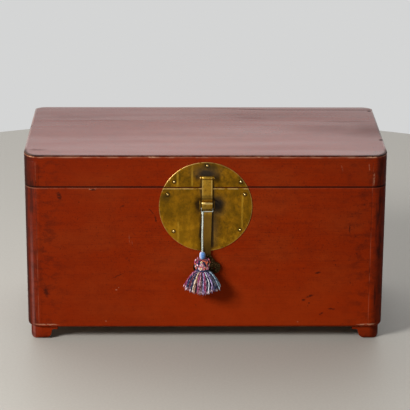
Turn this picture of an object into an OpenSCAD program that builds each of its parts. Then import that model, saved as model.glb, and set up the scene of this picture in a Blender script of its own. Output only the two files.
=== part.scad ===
// Lacquered wedding chest: a board-built box on four bracket feet, a low crowned lid on two
// back hinges, a round two-part brass lock plate with a hinged hasp, and a tassel on the hasp.
// Millimetres, +Z up, front towards -Y. The origin is on the floor under the middle of the
// chest, counted from the foremost brass to the hinges behind.

/* [Box] */
// Width of the case across the front
chest_w = 760; // [600:10:1000]
// Depth of the case from front to back
chest_d = 380; // [300:10:520]
// Height of the box from its lower edge to the seam
box_h = 315.5; // [270:0.5:420]
// Thickness of the upright boards
board_t = 16; // [14:1:20]
// Radius of the upright corners
corner_r = 31; // [27:1:44]
// Rounding of the box's lower edge
edge_r = 6; // [3:1:8]
// Thickness of the bottom board
bottom_t = 12; // [9:1:16]
// Width of the rebate that holds the bottom board
rebate_w = 7; // [5:1:8]
// Clearance between wooden pieces that fit into each other
wood_fit = 0.2; // [0.1:0.05:0.4]

/* [Joints between boards and corners] */
// Thickness of the tongues at the boards' ends
tongue_t = 5; // [4:0.5:6]
// Length of the tongues
tongue_l = 6; // [4:0.5:8]
// Distance between the tongues and the rebates and edges above and below them
tongue_margin = 5; // [2:1:12]

/* [Seam] */
// Gap between the box and the lid
seam_gap = 0.8; // [0.6:0.1:1.6]
// Thickness of the inner lip that centres the lid
lip_t = 8; // [6:0.5:9]
// Height of the lip above the seam
lip_h = 5; // [3:0.5:8]
// Clearance between the lip and the lid
lip_gap = 0.5; // [0.4:0.1:1]

/* [Lid] */
// Height of the lid's sides from the seam to the top edge
lid_h = 68.5; // [60:0.5:110]
// Rise of the top from its front and back edges to its middle
lid_crown = 9; // [4:1:16]
// Thickness of the top board at its front and back edges
top_t = 12; // [9:1:16]
// Rounding of the top's front and back edges
front_edge_r = 4; // [2:0.5:7]
// Rounding of the top's side edges
side_edge_r = 10; // [5:1:12]

/* [Feet] */
// Height of the feet
foot_h = 28.5; // [25:0.5:36]
// Length of each arm of a foot
foot_w = 58; // [54:1:80]
// Thickness of the arms
foot_t = 20; // [16:1:22]
// Distance that the feet stand in from the case's faces
foot_inset = 6; // [2:1:10]
// Length of a foot's flat heel on the floor
heel_w = 28; // [22:1:32]
// Radius of the round belly beside the heel
belly_r = 17; // [12:0.5:18]
// Radius of the hollow above the belly
hollow_r = 5; // [3:0.5:6]
// Rounding of the feet where they meet the floor
toe_r = 8; // [4:1:10]

/* [Lock plate] */
// Radius of the round plate
plate_r = 98; // [90:0.5:110]
// Thickness of the plate
plate_t = 1.2; // [0.8:0.1:1.6]
// Distance of the plate's middle below the seam
plate_drop = 43; // [38:1:50]
// Gap between the plate's two parts
plate_gap = 2.4; // [1.6:0.2:4]
// Bevel round the plate's rim
plate_bevel = 0.5; // [0.2:0.1:0.6]
// Radius of the nails' domed heads
nail_head_r = 2.5; // [2:0.1:3.5]
// Rise of the domed heads
nail_dome = 1.6; // [1:0.1:2]
// Radius of the nails' shanks
nail_r = 1; // [0.8:0.1:1.2]
// Length of the nails in the wood
nail_l = 12; // [8:1:13]
// Clearance of nails, legs and shanks in their holes
nail_fit = 0.1; // [0.05:0.05:0.2]

/* [Hasp] */
// Offset of the hasp from the chest's middle, to the right
hasp_x = 3; // [-6:0.2:6]
// Width of the hasp
hasp_w = 22.5; // [20:0.5:28]
// Thickness of the hasp's strap
hasp_t = 1.7; // [1.2:0.1:2.2]
// Height of the hasp's pin above the seam
pin_rise = 22.5; // [20:0.5:30]
// Distance of the pin's axis from the boards
pin_reach = 6; // [5.8:0.1:8]
// Radius of the pin
pin_r = 1.6; // [1.2:0.1:1.8]
// Running clearance round the pins
pin_fit = 0.06; // [0.03:0.01:0.1]
// Length of the pin's ends that stand out beyond the eyes
pin_end = 1.2; // [0.6:0.2:2]
// Distance of the bridge's top below the seam
bridge_drop = 28.5; // [22:0.5:32]
// Height of the bridge
bridge_h = 17; // [15:0.5:22]
// Reach of the bridge from the boards
bridge_reach = 14.2; // [13:0.2:18]
// Length of the tail below the bridge, down to the shaped end
tail_l = 104; // [96:1:112]
// Thickness of the tail
tail_t = 1.6; // [1.2:0.1:2]
// Width across the lobes of the tail's shaped end
lobe_span = 58; // [50:1:62]

/* [Eyes and staples] */
// Width of the two eyes that hold the pin
eye_w = 2.6; // [2:0.2:3.6]
// Outer radius of the eyes
eye_r = 3.5; // [3.2:0.1:4.2]
// Side play between the hasp and the eyes
eye_gap = 0.4; // [0.3:0.1:0.8]
// Width of the staples, seen from the front
staple_w = 2.2; // [1.8:0.1:3]
// Thickness of the staples, seen from the side
staple_t = 2.8; // [2.2:0.1:3.2]
// Outer height of the staples
staple_h = 24; // [22:1:28]
// Reach of the staples from the boards
staple_reach = 15.5; // [14:0.5:18]
// Free space between the bridge and each staple
staple_gap = 2.6; // [2.4:0.1:4]
// Outer bend radius of the staples
staple_bend = 9; // [6:0.5:10]
// Length of the legs' ends, bent over on the inside
clench_l = 8; // [5:1:12]
// Thickness of the bent ends
clench_t = 2; // [1.5:0.1:2.4]

/* [Back hinges] */
// Distance of each hinge's middle from the case's side
hinge_inset = 150; // [80:5:200]
// Width of the hinge leaves
leaf_w = 46; // [40:1:70]
// Height of the hinge leaves
leaf_h = 34; // [28:1:44]
// Thickness of the hinge leaves
leaf_t = 1.4; // [1:0.1:2]
// Outer radius of the hinge knuckles
knuckle_r = 3.6; // [3.2:0.1:4.5]
// Radius of the hinge pins
hinge_pin_r = 1.9; // [1.5:0.1:2.1]
// Side play between the knuckles
knuckle_gap = 0.4; // [0.2:0.1:0.8]
// Distance of the knuckles from the back face
knuckle_lift = 0.3; // [0.2:0.1:1]
// Corner radius of the hinge leaves
leaf_corner_r = 5; // [2:1:8]

/* [Tassel] */
// Radius of the thin loop's cord
loop_r = 0.8; // [0.6:0.1:0.9]
// Distance between the loop's upper and lower runs
loop_drop = 8; // [7.6:0.1:9]
// Radius of the twisted cord
cord_r = 1.9; // [1:0.1:2]
// Height of the wrapped bead
bead_h = 15; // [10:1:20]
// Width of the bead
bead_w = 14.6; // [10:0.2:18]
// Height of the knotted head
head_h = 23; // [18:1:30]
// Width of the head
head_w = 32.4; // [26:0.2:38]
// Height of the tie round the neck
tie_h = 3.4; // [2:0.2:5]
// Length of the yarn skirt
skirt_l = 49; // [40:1:64]
// Width of the skirt at its lower end
skirt_w = 82; // [60:1:86]

/* [Hidden] */
$fn = 64;
lacquer = [0.46, 0.14, 0.03];
raw_wood = [0.58, 0.42, 0.27];
brass = [0.52, 0.38, 0.12];
pale_cord = [0.72, 0.76, 0.7];
blue_yarn = [0.42, 0.5, 0.72];
pink_yarn = [0.7, 0.35, 0.45];
navy_yarn = [0.12, 0.12, 0.25];
mixed_yarn = [0.62, 0.5, 0.6];
// room that a cut takes beyond the face it opens
cut = 1;

// where the case stands, so that the origin is under the middle of the whole
front_reach = max(staple_reach, bridge_reach);
hinge_reach = knuckle_lift + knuckle_r;
back_reach = hinge_reach + knuckle_r;
front_y = (front_reach - back_reach - chest_d) / 2;
back_y = front_y + chest_d;
mid_y = front_y + chest_d / 2;
front_run = chest_w - 2 * corner_r;
side_run = chest_d - 2 * corner_r;

// heights
seam_z = foot_h + box_h;
wall_h = box_h - seam_gap / 2;
lid_z = seam_z + seam_gap / 2;
edge_z = seam_z + lid_h;
rail_h = edge_z - top_t - lid_z;
lip_space = lip_h + lip_gap - seam_gap / 2;
box_tongue = [bottom_t + wood_fit + tongue_margin, wall_h - tongue_margin];
rail_tongue = [lip_space + tongue_margin, rail_h - tongue_margin];
crown_r = (pow(chest_d / 2, 2) + pow(lid_crown, 2)) / (2 * lid_crown);
crown_z = edge_z + lid_crown - crown_r;

// the hasp, its eyes and the staples
plate_z = seam_z - plate_drop;
pin_z = seam_z + pin_rise;
roll_r = pin_r + pin_fit + hasp_t;
strap_back = pin_reach - roll_r;
bridge_top = seam_z - bridge_drop;
bridge_foot = bridge_top - bridge_h;
bridge_bend = 3.2;
bridge_mid = (bridge_top + bridge_foot) / 2;
tail_top_w = 20.5;
tail_end_w = 15.6;
// the tail's end: two lobes, a rounder one between them, and a piercing in each side lobe
lobe_r = 13;
lobe_drop = 28;
lobe_swell = 3;
pierce_r = 2.2;
pierce_drop = 2;
staple_x = hasp_w / 2 + staple_gap + staple_w / 2;
eye_x = hasp_w / 2 + eye_gap + eye_w / 2;
leg_in = board_t + wood_fit + clench_t;
shank_h = 3;
// each nail of the lock plate: its angle on the plate and how far it stands in from the rim
lid_nail_places = [[37, 6], [88, 7.5], [140, 12]];
box_nail_places = [[18.5, 11.5], [161, 14], [219, 12], [325, 9.5]];

// the back hinges
hinge_x = chest_w / 2 - hinge_inset;
hinge_head_t = 1.2;
hinge_head_rim = 0.9;
// places of the nails on a hinge leaf, as shares of its width and height
leaf_nail_places = [[-0.34, 0.72], [0.34, 0.72], [0, 0.42]];

// the tassel: the loop's upper run lies on the floor of the bridge
loop_play = 0.2;
loop_side = 0.3;
loop_bend = 1;
loop_p = (strap_back + bridge_reach) / 2;
loop_top_z = bridge_foot + hasp_t + loop_r + loop_play;
loop_foot_z = loop_top_z - loop_drop;
loop_half = hasp_w / 2 + loop_side + loop_r;
cord_inset = 2;
cord_gap = 0.05;
cord_x = hasp_x - hasp_w / 2 + cord_inset;
cord_top_z = loop_foot_z - loop_r - cord_gap;
// the cord's route from the loop down to the bead: across, forward and down
cord_route = [
    [0, 0, 0], [0, 0, 6], [0, 0.5, 14], [0, 1, 22], [-0.2, 2, 32], [-0.4, 3, 42],
    [-0.5, 4.5, 52], [-0.5, 6, 62], [-0.5, 7.5, 72], [-0.5, 9, 80], [-0.5, 9.5, 86]
];
cord_end = cord_route[len(cord_route) - 1];
tassel_x = cord_x + cord_end[0];
tassel_p = loop_p + cord_end[1];
bead_top = cord_top_z - cord_end[2];
head_top = bead_top - bead_h;
tie_top = head_top - head_h;
skirt_top = tie_top - tie_h;
bead_depth = 13;
head_depth = 26;
neck_w = 25;
neck_depth = 19;
tie_wrap = 1.6;
skirt_depth = 34;
skirt_lean = 4;

// Shared shapes

// A rectangle about its middle with round corners
module soft_rect(w, h, r) {
    square([w - 2 * r, h], center = true);
    square([w, h - 2 * r], center = true);
    for (x = [-1, 1], y = [-1, 1])
        translate([x * (w / 2 - r), y * (h / 2 - r)]) circle(r);
}

// What a rounding takes off an outline's corner at the origin
module corner_cut(r) {
    difference() {
        translate([-cut, -cut]) square(r + cut);
        translate([r, r]) circle(r);
    }
}

// Turn that sets a quarter ring or a corner on the given side and end
function quarter(side, end) = side > 0 ? (end > 0 ? 0 : 270) : (end > 0 ? 90 : 180);

// Sets an outline of reach and height in the chest's upright plane, with a width across it
module side_cut(x, width) {
    translate([x, front_y, 0]) rotate([90, 0, -90])
        linear_extrude(width, center = true) children();
}

// The front face's own frame: X across, Y up, Z out of the chest
module on_front(x, z) {
    translate([x, front_y, z]) rotate([90, 0, 0]) children();
}

// The back face's own frame, seen from behind
module on_back(x, z) {
    translate([x, back_y, z]) rotate([90, 0, 180]) children();
}

// A closed form through rings of [x, y, z, half width, half depth], from the top down
module loft(rings, sides = 24) {
    n = len(rings);
    points = [for (r = rings, i = [0 : sides - 1])
        [r[0] + r[3] * cos(360 * i / sides), r[1] + r[4] * sin(360 * i / sides), r[2]]];
    skin = [for (k = [0 : n - 2], i = [0 : sides - 1], half = [0, 1])
        let (j = (i + 1) % sides, a = k * sides, b = a + sides)
        half == 0 ? [a + i, a + j, b + j] : [a + i, b + j, b + i]];
    lid = [[for (i = [sides - 1 : -1 : 0]) i]];
    base = [[for (i = [0 : sides - 1]) (n - 1) * sides + i]];
    polyhedron(points, concat(lid, skin, base));
}

// The case's walls and corners

// Section of the box's walls: X in from the outer face, Y up from the lower edge
module box_section() {
    difference() {
        union() {
            square([board_t, wall_h]);
            translate([board_t - lip_t, 0]) square([lip_t, box_h + lip_h]);
        }
        translate([board_t - rebate_w, -cut])
            square([rebate_w + cut, bottom_t + wood_fit + cut]);
        corner_cut(edge_r);
    }
}

// Section of the lid's rails, with the rebate that goes over the lip
module rail_section() {
    difference() {
        square([board_t, rail_h]);
        translate([board_t - lip_t - lip_gap, -cut])
            square([lip_t + lip_gap + cut, lip_space + cut]);
    }
}

// A wall of the given section along X, with a tongue at each end from one height to another
module wall(length, z, tongue) {
    translate([-length / 2, 0, z]) rotate([90, 0, 90]) linear_extrude(length) children();
    translate([-length / 2 - tongue_l, (board_t - tongue_t) / 2, z + tongue[0]])
        cube([length + 2 * tongue_l, tongue_t, tongue[1] - tongue[0]]);
}

// A quarter-round corner of the given section, with grooves for the tongues
module corner_piece(z, tongue) {
    groove_l = tongue_l + wood_fit;
    groove_t = tongue_t + 2 * wood_fit;
    groove_h = tongue[1] - tongue[0] + 2 * wood_fit;
    groove_at = corner_r - (board_t + groove_t) / 2;
    groove_z = z + tongue[0] - wood_fit;
    difference() {
        translate([0, 0, z]) rotate_extrude(angle = 90)
            translate([corner_r, 0]) mirror([1, 0]) children();
        translate([groove_at, -cut, groove_z]) cube([groove_t, groove_l + cut, groove_h]);
        translate([-cut, groove_at, groove_z]) cube([groove_l + cut, groove_t, groove_h]);
    }
}

// Moves a wall from the front to another side of the case
module to_front() { translate([0, front_y, 0]) children(); }
module to_back() { translate([0, back_y, 0]) rotate([0, 0, 180]) children(); }
module to_left() { translate([-chest_w / 2, mid_y, 0]) rotate([0, 0, -90]) children(); }
module to_right() { translate([chest_w / 2, mid_y, 0]) rotate([0, 0, 90]) children(); }

// Moves a corner to the case's corner on the given side and end
module to_corner(side, end) {
    translate([side * (chest_w / 2 - corner_r), mid_y + end * (chest_d / 2 - corner_r), 0])
        rotate([0, 0, quarter(side, end)]) children();
}

module front_board() {
    color(lacquer) difference() {
        to_front() wall(front_run, foot_h, box_tongue) box_section();
        plate_nail_holes(box_nail_places);
        staple_holes();
    }
}

module back_board() {
    color(lacquer) difference() {
        to_back() wall(front_run, foot_h, box_tongue) box_section();
        hinge_nail_holes(-1);
    }
}

module left_board() {
    color(lacquer) to_left() wall(side_run, foot_h, box_tongue) box_section();
}

module right_board() {
    color(lacquer) to_right() wall(side_run, foot_h, box_tongue) box_section();
}

module post(side, end) {
    color(lacquer) to_corner(side, end) corner_piece(foot_h, box_tongue) box_section();
}

module bottom_board() {
    inset = board_t - rebate_w + wood_fit;
    color(raw_wood) translate([0, mid_y, foot_h]) linear_extrude(bottom_t)
        soft_rect(chest_w - 2 * inset, chest_d - 2 * inset, corner_r - inset);
}

// The feet

// Plan of a foot: two arms from a round outer corner at the origin
module foot_plan() {
    difference() {
        square(foot_w);
        translate([foot_t, foot_t]) square(foot_w);
        corner_cut(corner_r - foot_inset);
    }
}

// Side view of a foot's arm: a flat heel, a round belly, a hollow above it and a thin end
module foot_outline() {
    hollow_x = heel_w + belly_r + hollow_r;
    difference() {
        union() {
            square([heel_w, foot_h]);
            translate([0, belly_r]) square([foot_w, foot_h - belly_r]);
            translate([heel_w, belly_r]) circle(belly_r);
        }
        translate([hollow_x, belly_r]) circle(hollow_r);
        translate([hollow_x, belly_r - cut]) square([foot_w, hollow_r + cut]);
        corner_cut(toe_r);
    }
}

module foot(side, end) {
    x = side * (chest_w / 2 - foot_inset);
    y = mid_y + end * (chest_d / 2 - foot_inset);
    color(lacquer) translate([x, y, 0]) rotate([0, 0, quarter(side, end) + 180]) intersection() {
        linear_extrude(foot_h) foot_plan();
        translate([0, foot_w, 0]) rotate([90, 0, 0]) linear_extrude(foot_w) foot_outline();
        rotate([90, 0, 90]) linear_extrude(foot_w) foot_outline();
    }
}

// The lid

// Side view of the top board: a shallow arc that runs into the rounded front and back edges
module top_side_view() {
    half = chest_d / 2;
    edge_y = half - front_edge_r;
    inner_r = crown_r - front_edge_r;
    edge_at_z = crown_z + sqrt(inner_r * inner_r - edge_y * edge_y);
    meet_y = edge_y * crown_r / inner_r;
    under_z = edge_z - top_t;
    intersection() {
        translate([-meet_y, under_z]) square([2 * meet_y, top_t + lid_crown + cut]);
        translate([0, crown_z]) circle(crown_r, $fn = 720);
    }
    translate([-half, under_z]) square([chest_d, edge_at_z - under_z]);
    for (end = [-1, 1]) translate([end * edge_y, edge_at_z]) circle(front_edge_r);
}

// Front view of the top board, rounded towards its sides
module top_front_view() {
    depth = top_t + lid_crown;
    translate([0, edge_z - top_t]) difference() {
        translate([-chest_w / 2, 0]) square([chest_w, depth]);
        for (side = [0, 1]) mirror([side, 0]) translate([chest_w / 2, depth])
            rotate(180) corner_cut(side_edge_r);
    }
}

module lid_top() {
    color(lacquer) intersection() {
        translate([0, mid_y, edge_z - top_t]) linear_extrude(top_t + lid_crown)
            soft_rect(chest_w, chest_d, corner_r);
        translate([-chest_w / 2, mid_y, 0]) rotate([90, 0, 90])
            linear_extrude(chest_w) top_side_view();
        translate([0, back_y, 0]) rotate([90, 0, 0])
            linear_extrude(chest_d) top_front_view();
    }
}

module lid_front_rail() {
    color(lacquer) difference() {
        to_front() wall(front_run, lid_z, rail_tongue) rail_section();
        plate_nail_holes(lid_nail_places);
        eye_holes();
    }
}

module lid_back_rail() {
    color(lacquer) difference() {
        to_back() wall(front_run, lid_z, rail_tongue) rail_section();
        hinge_nail_holes(1);
    }
}

module lid_left_rail() {
    color(lacquer) to_left() wall(side_run, lid_z, rail_tongue) rail_section();
}

module lid_right_rail() {
    color(lacquer) to_right() wall(side_run, lid_z, rail_tongue) rail_section();
}

module lid_block(side, end) {
    color(lacquer) to_corner(side, end) corner_piece(lid_z, rail_tongue) rail_section();
}

// The lock plate and its nails

module round_plate() {
    on_front(0, plate_z) rotate_extrude($fn = 180) polygon([
        [0, 0], [plate_r, 0], [plate_r, plate_t - plate_bevel],
        [plate_r - plate_bevel, plate_t], [0, plate_t]
    ]);
}

// A block in front of the chest, above or below the plate's gap
module plate_half(up) {
    size = 3 * plate_r;
    translate([-size / 2, front_y - size / 2, seam_z + up * plate_gap / 2 - (up > 0 ? 0 : size)])
        cube(size);
}

// Puts its children at each of a list of places round the plate's rim
module round_the_plate(places) {
    for (place = places) {
        reach = plate_r - place[1];
        on_front(reach * cos(place[0]), plate_z + reach * sin(place[0])) children();
    }
}

module plate_nail_holes(places) {
    depth = nail_l + wood_fit;
    round_the_plate(places) translate([0, 0, -depth])
        cylinder(r = nail_r + nail_fit, h = depth + plate_t + cut);
}

// A nail whose domed head sits on metal of the given thickness
module domed_nail(seat) {
    dome_r = (pow(nail_head_r, 2) + pow(nail_dome, 2)) / (2 * nail_dome);
    translate([0, 0, seat]) intersection() {
        translate([0, 0, nail_dome - dome_r]) sphere(dome_r);
        cylinder(r = nail_head_r + cut, h = nail_dome + cut);
    }
    translate([0, 0, -nail_l]) cylinder(r = nail_r, h = nail_l + seat + nail_dome / 4);
}

module box_plate() {
    color(brass) difference() {
        intersection() {
            round_plate();
            plate_half(-1);
        }
        plate_nail_holes(box_nail_places);
        staple_holes();
    }
}

module lid_plate() {
    color(brass) difference() {
        intersection() {
            round_plate();
            plate_half(1);
        }
        plate_nail_holes(lid_nail_places);
        eye_holes();
    }
}

module box_plate_nails() { color(brass) round_the_plate(box_nail_places) domed_nail(plate_t); }
module lid_plate_nails() { color(brass) round_the_plate(lid_nail_places) domed_nail(plate_t); }

// The staples beside the bridge

module staple_holes() {
    for (side = [-1, 1], end = [-1, 1])
        translate([hasp_x + side * staple_x, front_y + board_t / 2,
                   bridge_mid + end * (staple_h - staple_t) / 2])
            cube([staple_w + 2 * nail_fit, board_t + 4 * cut + plate_t,
                  staple_t + 2 * nail_fit], center = true);
}

// Side view of a staple: reach across, height up
module staple_outline() {
    translate([0, bridge_mid]) difference() {
        soft_rect(2 * staple_reach, staple_h, staple_bend);
        soft_rect(2 * (staple_reach - staple_t), staple_h - 2 * staple_t,
                  staple_bend - staple_t);
        translate([-2 * staple_reach, -staple_h]) square([2 * staple_reach, 2 * staple_h]);
    }
    for (end = [0, 1]) translate([0, bridge_mid]) mirror([0, end]) {
        translate([-leg_in, staple_h / 2 - staple_t]) square([leg_in, staple_t]);
        translate([-leg_in, staple_h / 2 - staple_t])
            square([clench_t, staple_t + clench_l]);
    }
}

module staple(side) {
    color(brass) side_cut(hasp_x + side * staple_x, staple_w) staple_outline();
}

// The eyes that hold the hasp's pin

module eye_holes() {
    for (side = [-1, 1])
        translate([hasp_x + side * eye_x, front_y + board_t / 2, pin_z])
            cube([eye_w + 2 * nail_fit, board_t + 4 * cut + plate_t,
                  shank_h + 2 * nail_fit], center = true);
}

module pin_eye(side) {
    shank_end = pin_reach - (pin_r + eye_r) / 2;
    color(brass) side_cut(hasp_x + side * eye_x, eye_w) {
        difference() {
            translate([pin_reach, pin_z]) circle(eye_r);
            translate([pin_reach, pin_z]) circle(pin_r + pin_fit);
        }
        translate([-leg_in, pin_z - shank_h / 2]) square([leg_in + shank_end, shank_h]);
        translate([-leg_in, pin_z - shank_h / 2]) square([clench_t, shank_h + clench_l]);
    }
}

module hasp_pin() {
    length = 2 * (eye_x + eye_w / 2 + pin_end);
    color(brass) translate([hasp_x - length / 2, front_y - pin_reach, pin_z])
        rotate([0, 90, 0]) cylinder(r = pin_r, h = length);
}

// The hasp

// Side view: the roll round the pin, the strap behind it and the bridge with its cross way
module hasp_outline() {
    roll_mouth = 0.6;
    translate([pin_reach, pin_z]) difference() {
        circle(roll_r);
        circle(pin_r + pin_fit);
        rotate(-55) translate([0, -roll_mouth / 2]) square([2 * roll_r, roll_mouth]);
    }
    difference() {
        union() {
            translate([strap_back, bridge_mid]) square([hasp_t, pin_z - bridge_mid]);
            translate([(strap_back + bridge_reach) / 2, bridge_mid])
                soft_rect(bridge_reach - strap_back, bridge_h, bridge_bend);
        }
        translate([(strap_back + bridge_reach) / 2, bridge_mid])
            soft_rect(bridge_reach - strap_back - 2 * hasp_t, bridge_h - 2 * hasp_t,
                      bridge_bend - hasp_t);
        translate([pin_reach, pin_z]) circle(pin_r + pin_fit);
    }
}

// Front view of the tail and its lobed end, from the bridge's foot down
module tail_outline() {
    lobe_x = lobe_span / 2 - lobe_r;
    polygon([
        [-tail_top_w / 2, hasp_t], [tail_top_w / 2, hasp_t],
        [tail_end_w / 2, -tail_l], [lobe_x + lobe_r / 2, -tail_l - lobe_drop + lobe_r / 2],
        [-lobe_x - lobe_r / 2, -tail_l - lobe_drop + lobe_r / 2], [-tail_end_w / 2, -tail_l]
    ]);
    difference() {
        union() {
            for (side = [-1, 1]) translate([side * lobe_x, -tail_l - lobe_drop]) circle(lobe_r);
            translate([0, -tail_l - lobe_drop]) circle(lobe_r + lobe_swell);
        }
        for (side = [-1, 1])
            translate([side * lobe_x, -tail_l - lobe_drop - pierce_drop]) circle(pierce_r);
    }
}

module hasp() {
    color(brass) {
        side_cut(hasp_x, hasp_w) hasp_outline();
        on_front(hasp_x, bridge_foot) translate([0, 0, strap_back])
            linear_extrude(tail_t) tail_outline();
    }
}

// The back hinges

// Sets an outline of reach and height behind the chest, with a width across it
module back_cut(x, width) {
    translate([x, back_y, seam_z]) rotate([90, 0, 90])
        linear_extrude(width, center = true) children();
}

// Puts its children at each nail of the two upper or lower leaves
module round_the_leaves(up) {
    for (side = [-1, 1], place = leaf_nail_places)
        on_back(side * hinge_x + place[0] * leaf_w, seam_z + up * place[1] * leaf_h) children();
}

module hinge_nail_holes(up) {
    depth = nail_l + wood_fit;
    round_the_leaves(up) translate([0, 0, -depth])
        cylinder(r = nail_r + nail_fit, h = depth + leaf_t + cut);
}

// Back view of a leaf, notched where the other leaf has its knuckles
module leaf_outline(up, other_runs) {
    run = leaf_w / 3;
    notch = knuckle_r + knuckle_gap;
    mirror([0, up > 0 ? 0 : 1]) difference() {
        soft_rect(leaf_w, 2 * leaf_h, leaf_corner_r);
        translate([-leaf_w, -2 * leaf_h]) square([2 * leaf_w, 2 * leaf_h]);
        for (place = other_runs) translate([place * run - run / 2, -cut])
            square([run, notch + cut]);
    }
}

// The lower leaf has the outer two of the three knuckles, the upper leaf the middle one
module hinge_leaf(side, up) {
    run = leaf_w / 3;
    own_runs = up > 0 ? [0] : [-1, 1];
    other_runs = up > 0 ? [-1, 1] : [0];
    color(brass) difference() {
        union() {
            on_back(side * hinge_x, seam_z) linear_extrude(leaf_t)
                leaf_outline(up, other_runs);
            for (place = own_runs) back_cut(side * hinge_x + place * run, run - knuckle_gap)
                translate([hinge_reach, 0]) circle(knuckle_r);
        }
        back_cut(side * hinge_x, 2 * leaf_w)
            translate([hinge_reach, 0]) circle(hinge_pin_r + pin_fit);
        hinge_nail_holes(up);
    }
}

module hinge_pin(side) {
    color(brass) {
        back_cut(side * hinge_x, leaf_w + 2 * hinge_head_t)
            translate([hinge_reach, 0]) circle(hinge_pin_r);
        for (end = [-1, 1])
            back_cut(side * hinge_x + end * (leaf_w + hinge_head_t) / 2, hinge_head_t)
                translate([hinge_reach, 0]) circle(hinge_pin_r + hinge_head_rim);
    }
}

module lower_hinge_nails() { color(brass) round_the_leaves(-1) domed_nail(leaf_t); }
module upper_hinge_nails() { color(brass) round_the_leaves(1) domed_nail(leaf_t); }

// The tassel

// A closed loop of thin cord, through the bridge and back under it
module tassel_loop() {
    rise = loop_drop / 2;
    color(pale_cord) translate([hasp_x, front_y - loop_p, loop_foot_z + rise])
        rotate([90, 0, 0]) {
            for (side = [-1, 1], end = [-1, 1])
                translate([side * (loop_half - loop_bend), end * (rise - loop_bend), 0])
                    rotate([0, 0, quarter(side, end)]) rotate_extrude(angle = 90)
                        translate([loop_bend, 0]) circle(loop_r, $fn = 24);
            for (side = [-1, 1]) {
                translate([0, side * rise, 0]) rotate([0, 90, 0])
                    cylinder(r = loop_r, h = 2 * (loop_half - loop_bend), center = true,
                             $fn = 24);
                translate([side * loop_half, 0, 0]) rotate([90, 0, 0])
                    cylinder(r = loop_r, h = 2 * (rise - loop_bend), center = true, $fn = 24);
            }
        }
}

module tassel_cord() {
    color(pale_cord) loft([for (p = cord_route)
        [cord_x + p[0], front_y - loop_p - p[1], cord_top_z - p[2], cord_r, cord_r]],
        sides = 8);
}

// Rings of a round form from its shape: shares of its height and of its width
function form(shape, top, height, width, depth) = [for (s = shape)
    [tassel_x, front_y - tassel_p, top - s[0] * height, width / 2 * s[1], depth / 2 * s[1]]];

module tassel_bead() {
    bead_shape = [[0, 0.5], [0.12, 0.82], [0.3, 0.98], [0.5, 1], [0.7, 0.98], [0.88, 0.82],
                  [1, 0.55]];
    color(blue_yarn) loft(form(bead_shape, bead_top, bead_h, bead_w, bead_depth));
}

module tassel_head() {
    head_shape = [[0, 0.4], [0.06, 0.68], [0.2, 0.93], [0.45, 1], [0.7, 0.97], [0.9, 0.88],
                  [1, 0.8]];
    color(pink_yarn) loft(form(head_shape, head_top, head_h, head_w, head_depth));
}

module tassel_tie() {
    band = [[0, 1], [1, 1]];
    color(navy_yarn) difference() {
        loft(form(band, tie_top, tie_h, neck_w + 2 * tie_wrap, neck_depth + 2 * tie_wrap));
        loft(form(band, tie_top + cut, tie_h + 2 * cut, neck_w + 2 * wood_fit,
                  neck_depth + 2 * wood_fit));
    }
}

// The neck goes up through the tie to the head, and the yarn spreads below it
module tassel_skirt() {
    spread = [[0, 0], [0.06, 0.25], [0.2, 0.5], [0.4, 0.74], [0.65, 0.92], [0.88, 1],
              [1, 0.95]];
    neck = [tassel_x, front_y - tassel_p, tie_top, neck_w / 2, neck_depth / 2];
    color(mixed_yarn) loft(concat([neck], [for (s = spread)
        [tassel_x, front_y - tassel_p - skirt_lean * s[1], skirt_top - s[0] * skirt_l,
         (neck_w + (skirt_w - neck_w) * s[1]) / 2,
         (neck_depth + (skirt_depth - neck_depth) * s[1]) / 2]]));
}

front_board();
back_board();
left_board();
right_board();
post(-1, -1);  // front_left_post
post(1, -1);  // front_right_post
post(-1, 1);  // back_left_post
post(1, 1);  // back_right_post
bottom_board();
foot(-1, -1);  // front_left_foot
foot(1, -1);  // front_right_foot
foot(-1, 1);  // back_left_foot
foot(1, 1);  // back_right_foot
box_plate();
box_plate_nails();
staple(-1);  // left_staple
staple(1);  // right_staple
hinge_leaf(-1, -1);  // left_hinge_lower_leaf
hinge_leaf(1, -1);  // right_hinge_lower_leaf
hinge_pin(-1);  // left_hinge_pin
hinge_pin(1);  // right_hinge_pin
lower_hinge_nails();
lid_top();
lid_front_rail();
lid_back_rail();
lid_left_rail();
lid_right_rail();
lid_block(-1, -1);  // lid_front_left_block
lid_block(1, -1);  // lid_front_right_block
lid_block(-1, 1);  // lid_back_left_block
lid_block(1, 1);  // lid_back_right_block
lid_plate();
lid_plate_nails();
pin_eye(-1);  // left_pin_eye
pin_eye(1);  // right_pin_eye
hasp_pin();
hinge_leaf(-1, 1);  // left_hinge_upper_leaf
hinge_leaf(1, 1);  // right_hinge_upper_leaf
upper_hinge_nails();
hasp();
tassel_loop();
tassel_cord();
tassel_bead();
tassel_head();
tassel_tie();
tassel_skirt();
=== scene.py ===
# A lacquered wedding chest with a round brass lock plate, a hanging hasp and a yarn tassel
import math
import random

import bpy
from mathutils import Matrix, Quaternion, Vector


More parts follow.
